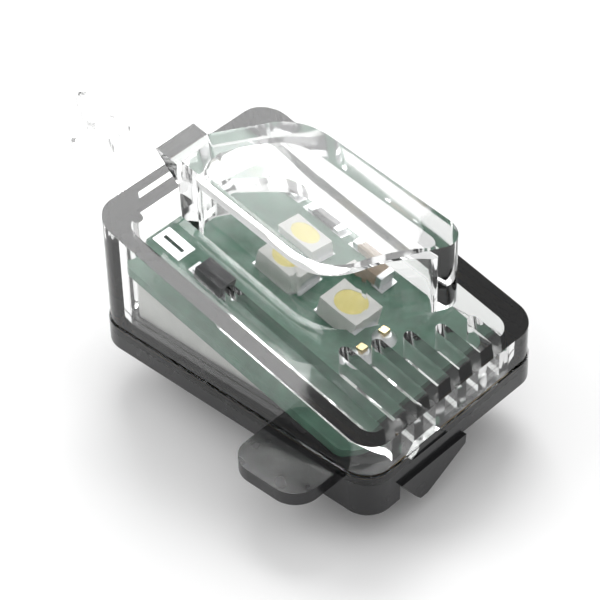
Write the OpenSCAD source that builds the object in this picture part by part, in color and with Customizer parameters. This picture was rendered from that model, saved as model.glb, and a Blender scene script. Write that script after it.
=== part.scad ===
// Clear wedge-shaped light for an outside door handle.
// A clear cover with a raised window and a two-pronged snap clip closes over a black
// housing; a sloping circuit board inside carries two white light-emitting diodes.
// X runs from the snap clip (back) to the thin end (front), Y across, Z up.
// The origin is the middle of the housing's lower face, on which the light stands.

/* [Body] */
// Length of the body without the snap clip
body_l = 27.6; // [24:0.1:34]
// Width of the body
body_w = 19; // [17:0.1:24]
// Height of the joint between cover and housing above the lower face
joint_z = 5.5; // [5:0.1:8]
// Height of the slanted top above the joint, at the back wall
back_h = 10.6; // [9.5:0.1:13]
// Height of the slanted top above the joint, at the front wall
front_h = 3.6; // [3.2:0.1:4.4]
// Radius of the upright corners at the back
back_r = 2.3; // [2:0.1:3]
// Radius of the upright corners at the front
front_r = 2; // [1.8:0.1:3]

/* [Cover] */
// Thickness of the side and back walls
side_wall = 1.7; // [1.2:0.1:2]
// Thickness of the front wall
front_wall = 1.4; // [1.1:0.1:1.7]
// Thickness of the slanted top, measured upright
top_wall = 1; // [0.7:0.05:1.2]
// Height of the proud band along the lower edge
flange_h = 0.75; // [0.5:0.05:1]
// How far that band stands proud of the walls
flange_out = 0.12; // [0.05:0.01:0.3]
// Distance between neighbouring ribs
rib_pitch = 2.4; // [2.2:0.05:2.6]
// Thickness of a rib
rib_t = 1; // [0.6:0.05:1.2]
// Number of ribs under the top
rib_count = 6; // [4:1:6]
// Distance from the back wall to the start of the long rib
long_rib_start = 11; // [9:0.5:15]

/* [Window boss] */
// Distance from the back wall to the back end of the boss
boss_back = 4; // [3.4:0.1:5]
// Distance from the centre line to the near side of the boss
boss_near = 4.2; // [3.8:0.1:4.6]
// Distance from the centre line to the far side of the boss, at its tip
boss_far = 7; // [6.4:0.1:7.4]
// Distance from the back wall to the boss's far front tip
boss_tip = 23.4; // [22.6:0.1:24]
// Distance from the back wall to the boss's near front corner
boss_nose = 18.6; // [17.8:0.1:20]
// Height of the boss's top above the joint, at the back wall
boss_back_h = 15.9; // [14.5:0.1:17]
// Height of the boss's top above the joint, at the front wall
boss_front_h = 9.8; // [9:0.1:11]
// Thickness of the boss's side walls
boss_wall = 1.2; // [0.9:0.05:1.5]
// Thickness of the boss's roof at its thinnest
boss_roof = 1; // [0.8:0.05:1.4]
// Radius of the arched inner face of the roof
vault_r = 9; // [7.5:0.5:14]
// How far the lip at the back end overhangs
lip_out = 1.5; // [1:0.1:1.8]

/* [Snap clip] */
// Thickness of the two prongs
prong_t = 0.9; // [0.7:0.05:1.2]
// Reach of the long prong behind the back wall
long_prong = 12.9; // [10:0.1:14]
// Reach of the short prong behind the back wall
short_prong = 8.9; // [7:0.1:10]
// Height of the prongs' upper face above the joint
prong_z = 9.2; // [7:0.1:9.4]

/* [Housing] */
// Thickness of the housing's rim plate
rim_t = 1.3; // [1.1:0.05:1.6]
// Height of the upstand that centres the cover
upstand_h = 1.3; // [0.8:0.1:1.8]
// Thickness of that upstand
upstand_t = 0.7; // [0.5:0.05:0.9]
// Distance of the lower body from the rim, at both ends
lower_in_l = 4; // [3.6:0.1:4.6]
// Distance of the lower body from the rim, at both sides
lower_in_w = 3.6; // [3.2:0.1:4]
// Thickness of the lower body's walls
lower_wall = 1.2; // [1:0.05:1.4]
// Length of the side tab along the body
tab_l = 7; // [6:0.1:8]
// How far the side tab stands out
tab_out = 4; // [3:0.1:5]
// Thickness of the side tab
tab_t = 1.15; // [0.9:0.05:1.3]
// Depth of the corner skirt below the joint
skirt_h = 3.1; // [2.4:0.1:3.6]
// Depth of the front wedge below the joint
wedge_h = 4.1; // [3.4:0.1:4.6]

/* [Connector socket] */
// Inner width of the socket
socket_w = 7.6; // [7:0.1:8.4]
// Inner height of the socket
socket_h = 2.8; // [2.4:0.1:3]
// Depth of the socket
socket_d = 7.6; // [6.4:0.1:8]
// Distance between the two contacts
contact_pitch = 2.5; // [2:0.1:3]
// Width of a square contact
contact_w = 0.64; // [0.5:0.02:0.8]

/* [Circuit board] */
// Thickness of the circuit board
board_t = 0.8; // [0.6:0.1:1]
// Depth of the board's upper face below the slanted top, measured upright
board_depth = 3.4; // [3.2:0.05:3.6]
// Distance of the diodes' centre line from the body's centre line
led_y = 1; // [0.4:0.1:1.6]
// Distance from the back wall to the rear diode
led_rear = 10.3; // [9.8:0.1:10.8]
// Distance between the two diodes along the body
led_pitch = 5.6; // [5.4:0.1:5.8]

/* [Hidden] */

$fn = 48;
slope = atan((back_h - front_h) / body_l);
eps = 0.01;
joint_gap = 0.1;
seat_gap = 0.05;

half_l = body_l / 2;
tall = 1.5 * body_l;
half_w = body_w / 2;
back_x = -half_l;
cavity_l = body_l - side_wall - front_wall;
cavity_w = body_w - 2 * side_wall;
cavity_x = back_x + side_wall + cavity_l / 2;
cavity_back_r = back_r - side_wall / 2;
cavity_front_r = front_r - front_wall / 2;

// Upright distance from the joint to the slanted top, at x behind or ahead of the middle
function top_z(x) = joint_z + back_h - (x - back_x) * (back_h - front_h) / body_l;
function board_z(x) = top_z(x) - board_depth;

// Direction from one outline corner to the next, and the point reached along it
function unit(v) = v / norm(v);
function before(p, i) = p[(i + len(p) - 1) % len(p)];
function after(p, i) = p[(i + 1) % len(p)];
// Half of the turn at corner i of a convex outline that runs anticlockwise
function half_turn(p, i) =
    let (a = unit(p[i] - before(p, i)), b = unit(after(p, i) - p[i]))
    acos(min(1, a * b)) / 2;
function inward(p, i) =
    let (a = unit(before(p, i) - p[i]), b = unit(after(p, i) - p[i])) unit(a + b);
function arc_centre(p, r, i) = p[i] + inward(p, i) * r[i] / cos(half_turn(p, i));
function tangent_in(p, r, i) =
    p[i] + unit(before(p, i) - p[i]) * r[i] * tan(half_turn(p, i));
function tangent_out(p, r, i) =
    p[i] + unit(after(p, i) - p[i]) * r[i] * tan(half_turn(p, i));
// The same outline with every side moved inwards by t
function inset(p, t) = [for (i = [0:len(p) - 1]) p[i] + inward(p, i) * t / cos(half_turn(p, i))];

boss_shoulder_x = back_x + boss_back + 3.2;
boss_shoulder_y = boss_far - 0.95;
boss_end_y = boss_near - 4.9;
boss_pts = [
    [back_x + boss_back, -boss_near],
    [back_x + boss_nose, -boss_near],
    [back_x + boss_tip, boss_far],
    [boss_shoulder_x, boss_shoulder_y],
    [back_x + boss_back, boss_end_y]
];
boss_radii = [0.4, 5, 1.5, 4.5, 0.8];
boss_inner_pts = inset(boss_pts, boss_wall);
boss_inner_r = 1;
boss_inner_radii = [for (r = boss_radii) max(boss_inner_r, r - boss_wall)];
lip_root = 0.7;
lip_side = 0.5;
lip_tip = 0.15;
lip_step = 0.02;
boss_slope = atan((boss_back_h - boss_front_h) / body_l);
function boss_z(x) = joint_z + boss_back_h - (x - back_x) * (boss_back_h - boss_front_h) / body_l;
function boss_front_x(y) =
    back_x + boss_nose + (boss_tip - boss_nose) * (y + boss_near) / (boss_far + boss_near);

lower_x0 = back_x + lower_in_l;
lower_w = body_w - 2 * lower_in_w;
lower_r = 1.6;
rim_z = joint_z - rim_t;
socket_z = rim_z / 2 + lower_wall / 4;
socket_end = lower_x0 + socket_d;
socket_lead_in = 0.25;
pan_x0 = socket_end + lower_wall;

tab_in = 20.8;
tab_x = back_x + tab_in;
tab_r = 2.1;
skirt_in = 0.8;
skirt_w = 3.3;
skirt_x0 = tab_x - tab_l / 2 + skirt_in;
skirt_y1 = -half_w + skirt_w;
skirt_t = 1.3;
latch_y = -3;
latch_w = 3.8;
latch_top_w = 2;
latch_h = 0.75;
latch_t = 1.1;
wedge_side = 3;
wedge_y = -half_w + wedge_side;
wedge_l = 7.1;
wedge_out = 0.45;
wedge_t = 1.7;

board_back = 2;
board_front = body_l - front_wall - 1.8;
board_l = (board_front - board_back) / cos(slope);
board_w = cavity_w - 0.4;
board_r = 1;
board_x = back_x + board_back;
led_l = 3.5;
led_w = 2.8;
led_h = 1.9;
led_window_r = 1.2;
led_cup_d = 0.7;
led_lead_t = 0.15;
led_lead_w = 2.2;
led_lead_h = 0.85;
led_pad_l = 1.3;
led_pad_w = 2.6;
cross_x = back_x + led_rear + led_pitch / 2;
riser_gap = 1.8;
riser_x = back_x + led_rear + led_pitch + led_l / 2 + riser_gap;
pan_gap = 2.95;
pan_x1 = riser_x + pan_gap;
lower_x1 = pan_x1 + lower_wall;
lower_l = lower_x1 - lower_x0;
pin_hole_r = 0.5;
carrier_back = 0.3;
carrier_front_x = pan_x1;
carrier_wall = 1;
carrier_in = joint_gap * 2 + upstand_t;

pad_t = 0.05;
part_lift = pad_t;
chip_l = 3.2;
chip_w = 1.6;
chip_h = 0.6;
chip_cap = 0.5;
chip_pad_l = 1.1;
chip_pad_w = 1.8;
capacitor_h = 1.1;
diode_l = 2.7;
diode_w = 1.6;
diode_h = 1.1;
diode_lead = 0.5;
diode_lead_w = 0.9;
diode_lead_h = 0.2;
diode_pad_l = 1;
diode_pad_w = 1.2;
solder_r = 0.95;
solder_top_r = 0.45;
solder_h = 0.6;
contact_top = 0.9;
contact_in = 1.2;

chip_side = 2.2;
chip_y = half_w - side_wall - chip_side;
resistor_rear_in = 5;
resistor_rear_x = back_x + resistor_rear_in;
resistor_pitch = 4.4;
resistor_front_x = resistor_rear_x + resistor_pitch;
diode_in = 8;
diode_x = back_x + diode_in;
diode_side = 2.9;
diode_y = -half_w + side_wall + diode_side;
capacitor_in = 14;
capacitor_x = back_x + capacitor_in;
capacitor_y = chip_y;
slot_pad_in = 3.6;
slot_pad_x = back_x + slot_pad_in;
slot_pad_side = 3.2;
slot_pad_y = -half_w + side_wall + slot_pad_side;
slot_pad_l = 2.8;
slot_pad_w = 1.8;
slot_l = 2;
slot_w = 0.35;
post_r = 0.5;
post_in = 0.15;
post_x = back_x + side_wall + post_in;
post_side = 1.25;
post_y = half_w - side_wall - post_side;

clear_colour = [0.86, 0.88, 0.87, 0.45];
black_colour = [0.05, 0.05, 0.055];
board_colour = [0.2, 0.42, 0.33];
white_colour = [0.93, 0.93, 0.9];
metal_colour = [0.76, 0.77, 0.78];

// Shared shapes

// A convex outline with a true arc of its own radius at each corner
module rounded_outline(p, r) {
    n = len(p);
    polygon([for (i = [0:n - 1]) for (k = [0, 1]) k == 0 ? tangent_in(p, r, i) : tangent_out(p, r, i)]);
    for (i = [0:n - 1]) {
        translate(arc_centre(p, r, i)) circle(r = r[i]);
    }
}

// A rectangle along X, with one radius for its back corners and one for its front corners
module body_outline(l, w, rb, rf) {
    rounded_outline(
        [[-l / 2, -w / 2], [l / 2, -w / 2], [l / 2, w / 2], [-l / 2, w / 2]],
        [rb, rf, rf, rb]);
}

module cavity_outline(t) {
    translate([cavity_x, 0])
        body_outline(cavity_l - 2 * t, cavity_w - 2 * t, max(0.3, cavity_back_r - t), max(0.3, cavity_front_r - t));
}

// Everything below the slanted top moved down by depth
module under_top(depth) {
    rotate([90, 0, 0])
        translate([0, 0, -tall / 2])
            linear_extrude(tall)
                polygon([
                    [back_x - 1, 0], [half_l + 1, 0],
                    [half_l + 1, top_z(half_l + 1) - depth], [back_x - 1, top_z(back_x - 1) - depth]
                ]);
}

// Everything below the boss's top plane moved down by depth
module under_boss(depth) {
    rotate([90, 0, 0])
        translate([0, 0, -tall / 2])
            linear_extrude(tall)
                polygon([
                    [back_x - 1, 0], [half_l + 1, 0],
                    [half_l + 1, boss_z(half_l + 1) - depth], [back_x - 1, boss_z(back_x - 1) - depth]
                ]);
}

// Puts its children on the board's upper face at x, y, with the board's slope
module on_board(x, y) {
    translate([x, y, board_z(x)]) rotate([0, slope, 0]) children();
}

module centred_box(l, w, h) {
    translate([-l / 2, -w / 2, 0]) cube([l, w, h]);
}

// Cover

module wall_shell() {
    intersection() {
        translate([0, 0, joint_z]) linear_extrude(tall) body_outline(body_l, body_w, back_r, front_r);
        under_top(0);
    }
    translate([0, 0, joint_z])
        linear_extrude(flange_h)
            body_outline(body_l + 2 * flange_out, body_w + 2 * flange_out, back_r + flange_out, front_r + flange_out);
}

module boss_outside() {
    intersection() {
        translate([0, 0, joint_z]) linear_extrude(tall) rounded_outline(boss_pts, boss_radii);
        under_boss(0);
    }
}

// The overhanging lip along the boss's back end, a triangle in side view
module boss_lip() {
    root_x = back_x + boss_back + lip_root;
    tip_x = back_x + boss_back - lip_out;
    translate([0, boss_end_y - 0.1, 0])
        rotate([90, 0, 0])
            linear_extrude(boss_end_y - 0.1 + boss_near + lip_side)
                polygon([
                    [root_x, boss_z(root_x) - lip_step],
                    [root_x, boss_z(tip_x) - lip_tip - lip_out - lip_root],
                    [tip_x, boss_z(tip_x) - lip_tip],
                    [tip_x + 0.1, boss_z(tip_x + 0.1) - lip_step]
                ]);
}

// The hollow of the boss, closed above by an arched roof that thickens towards the sides
module boss_hollow() {
    mid_y = (boss_far - boss_near) / 2 - 0.3;
    intersection() {
        translate([0, 0, joint_z]) linear_extrude(tall) rounded_outline(boss_inner_pts, boss_inner_radii);
        translate([0, mid_y, boss_z(0) - boss_roof / cos(boss_slope)])
            rotate([0, boss_slope, 0])
                translate([0, 0, -vault_r])
                    rotate([0, 90, 0])
                        cylinder(r = vault_r, h = tall, center = true, $fn = 96);
        translate([-tall / 2, -tall / 2, joint_z]) cube([tall, tall, tall]);
    }
}

module body_hollow() {
    intersection() {
        translate([0, 0, joint_z - 1]) linear_extrude(tall) cavity_outline(0);
        under_top(top_wall);
    }
}

// Ribs that hang from the top to just above the board, with round starts beside the boss
module ribs() {
    rib_end = half_l - front_wall + eps;
    intersection() {
        union() {
            for (i = [0:rib_count - 1]) {
                y = (i - (rib_count - 1) / 2) * rib_pitch;
                start = y < -boss_near ? back_x + long_rib_start : boss_front_x(y) + 0.6 + rib_t / 2;
                translate([start, y - rib_t / 2, joint_z]) cube([rib_end - start, rib_t, tall / 2]);
                translate([start, y, joint_z]) cylinder(d = rib_t, h = tall / 2, $fn = 24);
            }
        }
        difference() {
            under_top(top_wall / 2);
            under_top(board_depth - seat_gap);
        }
    }
}

// Upright posts in the back corners that centre the board
module locating_posts() {
    intersection() {
        for (s = [-1, 1]) {
            translate([post_x, s * post_y, joint_z + upstand_h + 2 * joint_gap]) cylinder(r = post_r, h = tall / 2, $fn = 32);
        }
        under_top(top_wall / 2);
    }
}

// The two prongs behind the back wall, drawn from above
module snap_clip() {
    root = 0.6;
    far_y = 2.85;
    near_y = -4.6;
    fork_y = -1.45;
    barb_y = -0.3;
    lp = back_x - long_prong;
    sp = back_x - short_prong;
    prong_window_in = 4.3;
    difference() {
        translate([0, 0, joint_z + prong_z - prong_t])
            linear_extrude(prong_t)
                polygon([
                    [back_x + root, far_y],
                    [back_x - 4.9, far_y],
                    [lp + 3.2, 2.2],
                    [lp + 0.3, 2.05],
                    [lp, 1.7],
                    [lp + 0.15, 1.2],
                    [lp + 2.6, barb_y],
                    [lp + 3.2, barb_y - 0.15],
                    [lp + 4.1, barb_y + 0.15],
                    [lp + 5.3, barb_y - 0.1],
                    [lp + 6.7, barb_y - 0.9],
                    [back_x - 5.3, fork_y],
                    [back_x + root, fork_y]
                ]);
        translate([lp + prong_window_in, 1.25, joint_z + prong_z - 2 * prong_t])
            linear_extrude(3 * prong_t)
                intersection() {
                    translate([0, 1.75]) circle(r = 2.6);
                    translate([0, -1.75]) circle(r = 2.6);
                }
    }
    translate([0, 0, joint_z + prong_z - prong_t])
        linear_extrude(prong_t)
            polygon([
                [back_x + root, fork_y + 0.1],
                [back_x - 2.6, fork_y],
                [sp, -2.55],
                [sp - 0.1, -2.9],
                [sp + 0.5, -3.25],
                [back_x - 2.2, near_y + 0.05],
                [back_x + root, near_y]
            ]);
    // Stiffening ridge from the fork to the tip of the long prong
    ridge_l = norm([long_prong - 2.9, 2.5]);
    ridge_a = atan2(2.5, -(long_prong - 2.9));
    translate([back_x - 2.6, -1, joint_z + prong_z - eps])
        rotate([0, 0, ridge_a])
            translate([0, -0.15, 0])
                cube([ridge_l, 0.3, 0.3]);
}

module latch_notch(grow) {
    translate([half_l + 1, latch_y, joint_z])
        rotate([90, 0, -90])
            linear_extrude(front_wall + 1.5)
                polygon([
                    [-latch_w / 2 - grow, -eps],
                    [latch_w / 2 + grow, -eps],
                    [latch_top_w / 2 + grow, latch_h + grow],
                    [-latch_top_w / 2 - grow, latch_h + grow]
                ]);
}

module clear_cover() {
    color(clear_colour) {
        difference() {
            union() {
                wall_shell();
                boss_outside();
                boss_lip();
                snap_clip();
            }
            body_hollow();
            boss_hollow();
            latch_notch(joint_gap);
        }
        ribs();
        locating_posts();
    }
}

// Housing

module upstand() {
    intersection() {
        translate([0, 0, joint_z - eps])
            linear_extrude(upstand_h)
                difference() {
                    cavity_outline(joint_gap);
                    cavity_outline(joint_gap + upstand_t);
                }
        under_top(board_depth + board_t / cos(slope) + 2 * seat_gap);
    }
}

module side_tab() {
    y_out = -half_w - tab_out;
    translate([tab_x, 0, joint_z - 0.12 - tab_t])
        linear_extrude(tab_t)
            rounded_outline(
                [[-tab_l / 2, y_out], [tab_l / 2, y_out], [tab_l / 2, -half_w + 1], [-tab_l / 2, -half_w + 1]],
                [tab_r, tab_r, 0.2, 0.2]);
}

// Skirt that deepens the rim at the near front corner
module corner_skirt() {
    intersection() {
        translate([0, 0, joint_z - skirt_h])
            linear_extrude(skirt_h - rim_t + eps)
                difference() {
                    body_outline(body_l, body_w, back_r, front_r);
                    body_outline(body_l - 2 * skirt_t, body_w - 2 * skirt_t, back_r - skirt_t / 2, front_r - skirt_t / 2);
                }
        translate([skirt_x0, -half_w - 1, 0]) cube([half_l + 1 - skirt_x0, skirt_y1 + half_w + 1, joint_z]);
    }
}

module front_latch() {
    intersection() {
        latch_notch(0);
        translate([half_l - latch_t, -half_w, 0]) cube([latch_t, body_w, 2 * joint_z]);
    }
}

// The wedge that hangs below the front rim, drawn as seen from the front
module front_wedge() {
    depth = wedge_h - rim_t;
    translate([half_l + wedge_out, wedge_y, rim_z])
        rotate([90, 0, -90])
            mirror([1, 0, 0])
                linear_extrude(wedge_t)
                    polygon([
                        [0, eps],
                        [1.5, -depth * 0.75],
                        [2.1, -depth],
                        [2.9, -depth],
                        [4.6, -depth * 0.72],
                        [wedge_l, -depth * 0.3],
                        [wedge_l + 0.1, eps]
                    ]);
}

module socket_hollow() {
    wide = socket_w + 2 * socket_lead_in;
    high = socket_h + 2 * socket_lead_in;
    translate([lower_x0 - 1, -socket_w / 2, socket_z - socket_h / 2])
        cube([socket_d + 1, socket_w, socket_h]);
    // Step around the mouth that leads the plug in
    translate([lower_x0 - 1, -wide / 2, socket_z - high / 2])
        cube([1 + 2 * socket_lead_in, wide, high]);
}

module socket_keys() {
    for (s = [-1, 1]) {
        translate([lower_x0 + 1, s * (socket_w / 2 - 0.9) - 0.3, socket_z - socket_h / 2 - eps])
            cube([socket_d - 1 + eps, 0.6, 0.6]);
    }
}

module contact_tunnel(s) {
    translate([socket_end - 1, s * contact_pitch / 2 - contact_w / 2, socket_z - contact_w / 2])
        cube([lower_wall + 2, contact_w, contact_w]);
}

module black_housing() {
    color(black_colour) {
        difference() {
            union() {
                translate([0, 0, rim_z])
                    linear_extrude(rim_t)
                        body_outline(body_l + 2 * flange_out, body_w + 2 * flange_out, back_r + flange_out, front_r + flange_out);
                upstand();
                translate([(lower_x0 + lower_x1) / 2, 0, 0])
                    linear_extrude(rim_z + eps)
                        body_outline(lower_l, lower_w, lower_r, lower_r);
                side_tab();
                corner_skirt();
                front_latch();
                front_wedge();
            }
            socket_hollow();
            translate([pan_x0, -lower_w / 2 + lower_wall, lower_wall])
                cube([pan_x1 - pan_x0, lower_w - 2 * lower_wall, joint_z]);
            for (s = [-1, 1]) {
                contact_tunnel(s);
            }
            bead_groove();
        }
        socket_keys();
    }
}

bead_w = 0.6;
bead_h = 0.35;
bead_in = side_wall / 2;

module bead_ring() {
    difference() {
        body_outline(body_l - 2 * bead_in, body_w - 2 * bead_in, back_r - bead_in / 2, front_r - bead_in / 2);
        body_outline(body_l - 2 * bead_in - 2 * bead_w, body_w - 2 * bead_in - 2 * bead_w,
            back_r - bead_in / 2 - bead_w / 2, front_r - bead_in / 2 - bead_w / 2);
    }
}

module bead_groove() {
    translate([0, 0, joint_z - bead_h]) linear_extrude(bead_h + eps) bead_ring();
}

module joint_bead() {
    color([0.62, 0.47, 0.25]) translate([0, 0, joint_z - bead_h]) linear_extrude(bead_h) bead_ring();
}

module carrier_window(x0, x1) {
    w = cavity_w - 2 * (carrier_in + carrier_wall);
    translate([x0, -w / 2]) square([x1 - x0, w]);
}

// Wedge frame that carries the board at its slope
module board_carrier() {
    color([0.9, 0.91, 0.88]) {
        intersection() {
            translate([0, 0, joint_z])
                linear_extrude(tall)
                    difference() {
                        intersection() {
                            cavity_outline(carrier_in);
                            translate([back_x, -half_w]) square([carrier_front_x - back_x, body_w]);
                        }
                        carrier_window(back_x + side_wall + carrier_in + carrier_wall, cross_x - carrier_wall / 2);
                        carrier_window(cross_x + carrier_wall / 2, carrier_front_x - carrier_wall);
                    }
            under_top(board_depth + board_t / cos(slope) + seat_gap);
        }
    }
}

// Electrical parts

module board_blank() {
    translate([board_x, 0, board_z(board_x)])
        rotate([0, slope, 0])
            translate([board_l / 2, 0, -board_t])
                linear_extrude(board_t)
                    body_outline(board_l, board_w, board_r, board_r);
}

module board_slot() {
    on_board(slot_pad_x, slot_pad_y)
        translate([0, 0, -2 * board_t])
            centred_box(slot_l, slot_w, 3 * board_t);
}

module circuit_board() {
    color(board_colour)
        difference() {
            board_blank();
            for (s = [-1, 1]) {
                translate([riser_x, s * contact_pitch / 2, joint_z]) cylinder(r = pin_hole_r, h = tall, $fn = 32);
            }
            board_slot();
            for (s = [-1, 1]) {
                translate([post_x, s * post_y, joint_z]) cylinder(r = post_r + 2 * joint_gap, h = tall, $fn = 32);
            }
        }
}

module led_package() {
    translate([0, 0, part_lift])
        difference() {
            centred_box(led_l, led_w, led_h);
            translate([0, 0, led_h - led_cup_d]) cylinder(r = led_window_r, h = 2 * led_cup_d);
            for (s = [-1, 1]) {
                translate([s * led_l / 2, 0, -eps]) centred_box(2 * led_lead_t, led_lead_w, led_lead_h + eps);
            }
        }
}

module led_phosphor() {
    translate([0, 0, part_lift + led_h - led_cup_d]) cylinder(r = led_window_r, h = led_cup_d - 0.05);
}

module led_terminal_pair() {
    for (s = [-1, 1]) {
        translate([s * (led_l / 2 - led_lead_t / 2), 0, part_lift]) centred_box(led_lead_t, led_lead_w, led_lead_h);
    }
}

module led_rear_package() {
    color(white_colour) on_board(back_x + led_rear, led_y) led_package();
}

module led_front_package() {
    color(white_colour) on_board(back_x + led_rear + led_pitch, led_y) led_package();
}

module led_rear_phosphor() {
    color([0.98, 0.93, 0.6]) on_board(back_x + led_rear, led_y) led_phosphor();
}

module led_front_phosphor() {
    color([0.98, 0.93, 0.6]) on_board(back_x + led_rear + led_pitch, led_y) led_phosphor();
}

module led_terminals() {
    color(metal_colour) {
        for (x = [led_rear, led_rear + led_pitch]) {
            on_board(back_x + x, led_y) led_terminal_pair();
        }
    }
}

module pad(l, w) {
    centred_box(l, w, pad_t);
}

module solder_pads() {
    color(metal_colour) {
        for (x = [led_rear, led_rear + led_pitch]) {
            for (s = [-1, 1]) {
                on_board(back_x + x, led_y) translate([s * (led_l / 2 - led_pad_l / 4), 0, 0]) pad(led_pad_l, led_pad_w);
            }
        }
        for (x = [resistor_rear_x, resistor_front_x, capacitor_x]) {
            for (s = [-1, 1]) {
                on_board(x, chip_y) translate([s * (chip_l / 2 - chip_pad_l / 8), 0, 0]) pad(chip_pad_l, chip_pad_w);
            }
        }
        for (s = [-1, 1]) {
            on_board(diode_x, diode_y) translate([s * (diode_l / 2 + diode_lead / 2), 0, 0]) pad(diode_pad_l, diode_pad_w);
        }
        difference() {
            on_board(slot_pad_x, slot_pad_y) pad(slot_pad_l, slot_pad_w);
            board_slot();
        }
    }
}

module chip_body(l, w, h, cap) {
    translate([0, 0, part_lift]) centred_box(l - 2 * cap, w, h);
}

module chip_caps(l, w, h, cap) {
    for (s = [-1, 1]) {
        translate([s * (l / 2 - cap / 2), 0, part_lift]) centred_box(cap, w, h);
    }
}

module resistor_rear() {
    color([0.1, 0.1, 0.1]) on_board(resistor_rear_x, chip_y) chip_body(chip_l, chip_w, chip_h, chip_cap);
}

module resistor_front() {
    color([0.1, 0.1, 0.1]) on_board(resistor_front_x, chip_y) chip_body(chip_l, chip_w, chip_h, chip_cap);
}

module resistor_caps() {
    color(metal_colour) {
        for (x = [resistor_rear_x, resistor_front_x]) {
            on_board(x, chip_y) chip_caps(chip_l, chip_w, chip_h, chip_cap);
        }
    }
}

module filter_capacitor() {
    color([0.62, 0.5, 0.38]) on_board(capacitor_x, capacitor_y) chip_body(chip_l, chip_w, capacitor_h, chip_cap);
}

module capacitor_caps() {
    color(metal_colour) on_board(capacitor_x, capacitor_y) chip_caps(chip_l, chip_w, capacitor_h, chip_cap);
}

module protection_diode() {
    color([0.08, 0.08, 0.09])
        on_board(diode_x, diode_y)
            translate([0, 0, part_lift])
                centred_box(diode_l, diode_w, diode_h);
}

module diode_terminals() {
    color(metal_colour) {
        for (s = [-1, 1]) {
            on_board(diode_x, diode_y)
                translate([s * (diode_l / 2 + diode_lead / 2), 0, part_lift])
                    centred_box(diode_lead, diode_lead_w, diode_lead_h);
        }
    }
}

module contact(s) {
    y = s * contact_pitch / 2;
    tip_x = lower_x0 + contact_in;
    top = board_z(riser_x) + contact_top;
    translate([tip_x, y - contact_w / 2, socket_z - contact_w / 2])
        cube([riser_x + contact_w / 2 - tip_x, contact_w, contact_w]);
    translate([riser_x - contact_w / 2, y - contact_w / 2, socket_z - contact_w / 2])
        cube([contact_w, contact_w, top - socket_z + contact_w / 2]);
}

module supply_contact() {
    color([0.8, 0.68, 0.42]) contact(-1);
}

module ground_contact() {
    color([0.8, 0.68, 0.42]) contact(1);
}

// Cone of solder around each contact where it comes through the board
module contact_solder() {
    color(metal_colour) {
        for (s = [-1, 1]) {
            difference() {
                on_board(riser_x, s * contact_pitch / 2)
                    rotate_extrude($fn = 32)
                        polygon([[0, 0], [solder_r, 0], [solder_top_r, solder_h], [0, solder_h]]);
                translate([riser_x - contact_w / 2, s * contact_pitch / 2 - contact_w / 2, 0])
                    cube([contact_w, contact_w, tall]);
            }
        }
    }
}

clear_cover();
black_housing();
joint_bead();
board_carrier();
circuit_board();
led_rear_package();
led_front_package();
led_rear_phosphor();
led_front_phosphor();
led_terminals();
solder_pads();
resistor_rear();
resistor_front();
resistor_caps();
protection_diode();
diode_terminals();
filter_capacitor();
capacitor_caps();
supply_contact();
ground_contact();
contact_solder();
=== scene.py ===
"""Looks of the clear door handle light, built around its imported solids. Lengths are in metres."""
import math
import random

import bmesh
import bpy
from mathutils import Matrix, Vector

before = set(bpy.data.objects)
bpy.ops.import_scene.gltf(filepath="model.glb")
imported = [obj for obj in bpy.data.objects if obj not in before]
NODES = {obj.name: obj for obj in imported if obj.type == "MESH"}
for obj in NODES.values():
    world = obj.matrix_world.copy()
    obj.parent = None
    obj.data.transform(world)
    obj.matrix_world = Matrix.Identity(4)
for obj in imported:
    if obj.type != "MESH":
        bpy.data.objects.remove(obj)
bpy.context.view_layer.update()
MM = 0.001

# The photograph's frame and the camera that was fitted to it
IMAGE_SIDE = 600
FOCAL_PX = 2497.94
BODY_HALF_L = 13.8
JOINT_Z = 5.5
CAMERA_AT = Vector((109.4746 - BODY_HALF_L, -102.5510, 126.7347 + JOINT_Z)) * MM
CAMERA_RIGHT = Vector((0.73633, 0.67638, -0.01806))
CAMERA_UP = Vector((-0.43563, 0.49432, 0.75225))
CAMERA_BACK = Vector((0.51773, -0.54604, 0.65863))
SENSOR_MM = 36.0


def set_inputs(shader, **values):
    """Sets the shader's own sockets, named with underscores for blanks."""
    for name, value in values.items():
        shader.inputs[name.replace("_", " ")].default_value = value


def new_material(name):
    mat = bpy.data.materials.new(name)
    mat.use_nodes = True
    tree = mat.node_tree
    tree.nodes.clear()
    out = tree.nodes.new("ShaderNodeOutputMaterial")
    shader = tree.nodes.new("ShaderNodeBsdfPrincipled")
    tree.links.new(shader.outputs["BSDF"], out.inputs["Surface"])
    return mat, tree, shader, out


def coords(tree, scale=(1, 1, 1)):
    """Object coordinates, so that a pattern stays on its piece."""
    texco = tree.nodes.new("ShaderNodeTexCoord")
    mapping = tree.nodes.new("ShaderNodeMapping")
    mapping.inputs["Scale"].default_value = scale
    tree.links.new(texco.outputs["Object"], mapping.inputs["Vector"])
    return mapping.outputs["Vector"]


def noise(tree, vector, scale, detail=3.0, roughness=0.5, distortion=0.0):
    node = tree.nodes.new("ShaderNodeTexNoise")
    set_inputs(node, Scale=scale, Detail=detail, Roughness=roughness, Distortion=distortion)
    tree.links.new(vector, node.inputs["Vector"])
    return node.outputs["Fac"]


def ramp(tree, value, stops):
    node = tree.nodes.new("ShaderNodeValToRGB")
    elements = node.color_ramp.elements
    while len(elements) < len(stops):
        elements.new(0.5)
    for element, (at, colour) in zip(elements, stops):
        element.position = at
        element.color = (*colour, 1.0) if len(colour) == 3 else colour
    tree.links.new(value, node.inputs["Fac"])
    return node.outputs["Color"]


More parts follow.
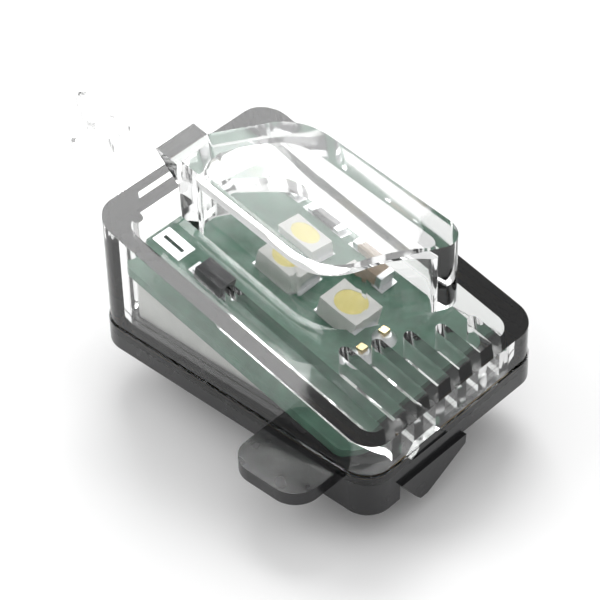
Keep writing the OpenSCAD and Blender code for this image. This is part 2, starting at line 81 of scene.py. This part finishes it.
def math_node(tree, kind, a, b):
    node = tree.nodes.new("ShaderNodeMath")
    node.operation = kind
    for socket, value in zip(node.inputs, (a, b)):
        if isinstance(value, (int, float)):
            socket.default_value = value
        else:
            tree.links.new(value, socket)
    return node.outputs["Value"]


def bump(tree, shader, height, distance, strength=1.0, normal=None):
    node = tree.nodes.new("ShaderNodeBump")
    set_inputs(node, Strength=strength, Distance=distance)
    tree.links.new(height, node.inputs["Height"])
    if normal is not None:
        tree.links.new(normal, node.inputs["Normal"])
    tree.links.new(node.outputs["Normal"], shader.inputs["Normal"])
    return node


def clear_plastic():
    mat, tree, shader, out = new_material("clear_moulding")
    set_inputs(shader, Base_Color=(0.97, 0.975, 0.97, 1), Roughness=0.04, IOR=1.49, Transmission_Weight=1.0)
    where = coords(tree)
    haze = noise(tree, where, 260, 5, 0.6)
    rough = ramp(tree, haze, [(0.35, (0.02,) * 3), (0.75, (0.10,) * 3)])
    tree.links.new(rough, shader.inputs["Roughness"])
    wave = noise(tree, where, 180, 2)
    bump(tree, shader, wave, 0.00004, 0.4)
    return mat


def plain_material(name, colour, roughness, speck=0.15, scale=900, metallic=0.0, depth=0.00002, spec=0.5):
    """A moulded or plated finish whose colour and gloss vary a little."""
    mat, tree, shader, out = new_material(name)
    set_inputs(shader, Metallic=metallic, Specular_IOR_Level=spec)
    where = coords(tree)
    field = noise(tree, where, scale, 4, 0.6)
    dark = tuple(c * (1 - speck) for c in colour)
    light = tuple(min(1, c * (1 + speck)) for c in colour)
    tree.links.new(ramp(tree, field, [(0.3, dark), (0.7, light)]), shader.inputs["Base Color"])
    low, high = max(0.02, roughness - 0.08), min(1, roughness + 0.1)
    tree.links.new(ramp(tree, noise(tree, where, scale * 0.4, 3), [(0.3, (low,) * 3), (0.7, (high,) * 3)]),
                   shader.inputs["Roughness"])
    bump(tree, shader, noise(tree, where, scale * 2, 3), depth, 0.5)
    return mat


def give(material, *names):
    for name in names:
        obj = NODES[name]
        obj.data.materials.clear()
        obj.data.materials.append(material)


give(clear_plastic(), "clear_cover")
give(plain_material("black_moulding", (0.012, 0.012, 0.013), 0.22), "black_housing")
give(plain_material("dried_adhesive", (0.42, 0.27, 0.1), 0.45, 0.35), "joint_bead")
give(plain_material("pale_moulding", (0.78, 0.79, 0.76), 0.5, 0.05), "board_carrier")
give(plain_material("board_lacquer", (0.07, 0.2, 0.13), 0.35, 0.25), "circuit_board")
give(plain_material("diode_body", (0.85, 0.85, 0.82), 0.4, 0.04), "led_rear_package", "led_front_package")
give(plain_material("diode_resin", (0.95, 0.83, 0.3), 0.25, 0.06), "led_rear_phosphor", "led_front_phosphor")
give(plain_material("tinned_metal", (0.75, 0.76, 0.77), 0.35, 0.1, metallic=1.0),
     "led_terminals", "solder_pads", "resistor_caps", "diode_terminals", "capacitor_caps", "contact_solder")
give(plain_material("chip_black", (0.03, 0.03, 0.035), 0.5), "resistor_rear", "resistor_front", "protection_diode")
give(plain_material("chip_tan", (0.4, 0.29, 0.19), 0.6), "filter_capacitor")
give(plain_material("plated_contact", (0.72, 0.56, 0.3), 0.3, metallic=1.0), "supply_contact", "ground_contact")


def floor_and_light():
    world = bpy.data.worlds.new("studio")
    bpy.context.scene.world = world
    world.use_nodes = True
    tree = world.node_tree
    tree.nodes.clear()
    out = tree.nodes.new("ShaderNodeOutputWorld")
    ground = tree.nodes.new("ShaderNodeBackground")
    set_inputs(ground, Color=(1, 1, 1, 1), Strength=0.75)
    tree.links.new(ground.outputs["Background"], out.inputs["Surface"])

    mesh = bpy.data.meshes.new("floor")
    side = 0.6
    mesh.from_pydata([(-side, -side, 0), (side, -side, 0), (side, side, 0), (-side, side, 0)], [], [(0, 1, 2, 3)])
    floor = bpy.data.objects.new("floor", mesh)
    bpy.context.collection.objects.link(floor)
    mat, tree, shader, out = new_material("floor_paper")
    set_inputs(shader, Base_Color=(0.9, 0.9, 0.9, 1), Roughness=0.8, Specular_IOR_Level=0.1)
    mesh.materials.append(mat)

    def area(name, at, target, size, power):
        data = bpy.data.lights.new(name, "AREA")
        data.shape = "SQUARE"
        data.size = size
        data.energy = power
        lamp = bpy.data.objects.new(name, data)
        lamp.location = at
        lamp.rotation_euler = (Vector(target) - Vector(at)).to_track_quat("-Z", "Y").to_euler()
        bpy.context.collection.objects.link(lamp)

    area("soft_box_back", (-0.15, 0.18, 0.3), (0, 0, 0.01), 0.2, 0.8)
    area("soft_box_side", (-0.25, -0.2, 0.25), (0, 0, 0.01), 0.2, 0.4)


def camera():
    data = bpy.data.cameras.new("photo_camera")
    data.sensor_width = SENSOR_MM
    data.lens = FOCAL_PX / IMAGE_SIDE * SENSOR_MM
    data.clip_start = 0.01
    data.clip_end = 5
    cam = bpy.data.objects.new("photo_camera", data)
    turn = Matrix((CAMERA_RIGHT, CAMERA_UP, CAMERA_BACK)).transposed()
    cam.matrix_world = Matrix.Translation(CAMERA_AT) @ turn.normalized().to_4x4()
    bpy.context.collection.objects.link(cam)
    bpy.context.scene.camera = cam


floor_and_light()
camera()

scene = bpy.context.scene
scene.view_settings.view_transform = "Standard"
scene.cycles.max_bounces = 24
scene.cycles.transmission_bounces = 20
scene.cycles.transparent_max_bounces = 12
scene.cycles.glossy_bounces = 8
